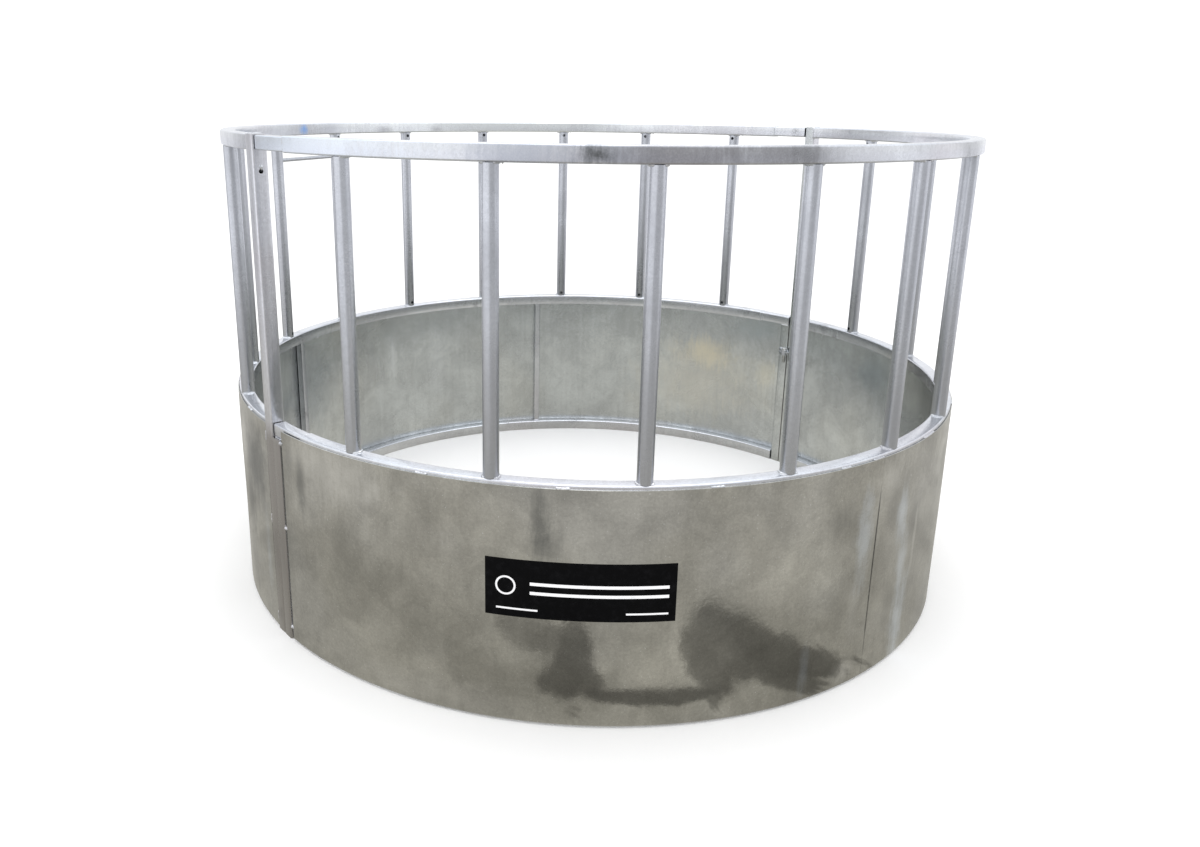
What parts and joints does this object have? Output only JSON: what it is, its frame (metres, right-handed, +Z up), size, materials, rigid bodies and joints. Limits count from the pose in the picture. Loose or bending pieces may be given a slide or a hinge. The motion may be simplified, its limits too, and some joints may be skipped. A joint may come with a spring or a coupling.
{
  "type": "round bale feeder",
  "caption": "Galvanised ring feeder for round bales: pinned halves with a sheeted skirt, rolled box-section rings and upright round feed bars.",
  "frame": {"origin": "on the floor at the centre of the ring", "axes": "+Z up; the two joints between the halves lie on the X axis; the front half fills the -Y side"},
  "size_m": [2.008, 2.0059, 1.215],
  "materials": {
    "galvanised_box": "hot-dip galvanised, bright mottled zinc",
    "galvanised_tube": "hot-dip galvanised, smooth zinc",
    "galvanised_sheet": "hot-dip galvanised sheet, soft blotchy reflections",
    "plated_pin": "zinc plated",
    "label_film": "satin black vinyl"
  },
  "bodies": {
    "feeder": {"front_top_ring": "galvanised_box", "front_mid_ring": "galvanised_box", "front_low_ring": "galvanised_box", "front_top_end_piece": "galvanised_box", "front_mid_end_piece": "galvanised_box", "front_first_skirt_sheet": "galvanised_sheet", "front_second_skirt_sheet": "galvanised_sheet", "front_feed_bar_1": "galvanised_tube", "front_feed_bar_2": "galvanised_tube", "front_feed_bar_3": "galvanised_tube", "front_feed_bar_4": "galvanised_tube", "front_feed_bar_5": "galvanised_tube", "front_feed_bar_6": "galvanised_tube", "front_feed_bar_7": "galvanised_tube", "front_feed_bar_8": "galvanised_tube", "front_feed_bar_9": "galvanised_tube", "front_skirt_stiffener_1": "galvanised_box", "front_skirt_stiffener_2": "galvanised_box", "front_upright": "galvanised_box", "front_end_bar": "galvanised_box", "front_lift_rod": "galvanised_tube", "front_fork_upper_lug": "galvanised_box", "front_fork_lower_lug": "galvanised_box", "front_tongue_lug": "galvanised_box", "back_top_ring": "galvanised_box", "back_mid_ring": "galvanised_box", "back_low_ring": "galvanised_box", "back_top_end_piece": "galvanised_box", "back_mid_end_piece": "galvanised_box", "back_first_skirt_sheet": "galvanised_sheet", "back_second_skirt_sheet": "galvanised_sheet", "back_feed_bar_1": "galvanised_tube", "back_feed_bar_2": "galvanised_tube", "back_feed_bar_3": "galvanised_tube", "back_feed_bar_4": "galvanised_tube", "back_feed_bar_5": "galvanised_tube", "back_feed_bar_6": "galvanised_tube", "back_feed_bar_7": "galvanised_tube", "back_feed_bar_8": "galvanised_tube", "back_feed_bar_9": "galvanised_tube", "back_skirt_stiffener_1": "galvanised_box", "back_skirt_stiffener_2": "galvanised_box", "back_upright": "galvanised_box", "back_end_bar": "galvanised_box", "back_lift_rod": "galvanised_tube", "back_fork_upper_lug": "galvanised_box", "back_fork_lower_lug": "galvanised_box", "back_tongue_lug": "galvanised_box", "front_label": "label_film"},
    "front_pin": {"front_drop_pin": "plated_pin"},
    "back_pin": {"back_drop_pin": "plated_pin"}
  },
  "joints": [
    {"name": "front_pin_lift", "type": "slide", "parent": "feeder", "child": "front_pin", "axis": [0, 0, 1], "range_m": [0, 0.055]},
    {"name": "back_pin_lift", "type": "slide", "parent": "feeder", "child": "back_pin", "axis": [0, 0, 1], "range_m": [0, 0.055]}
  ]
}
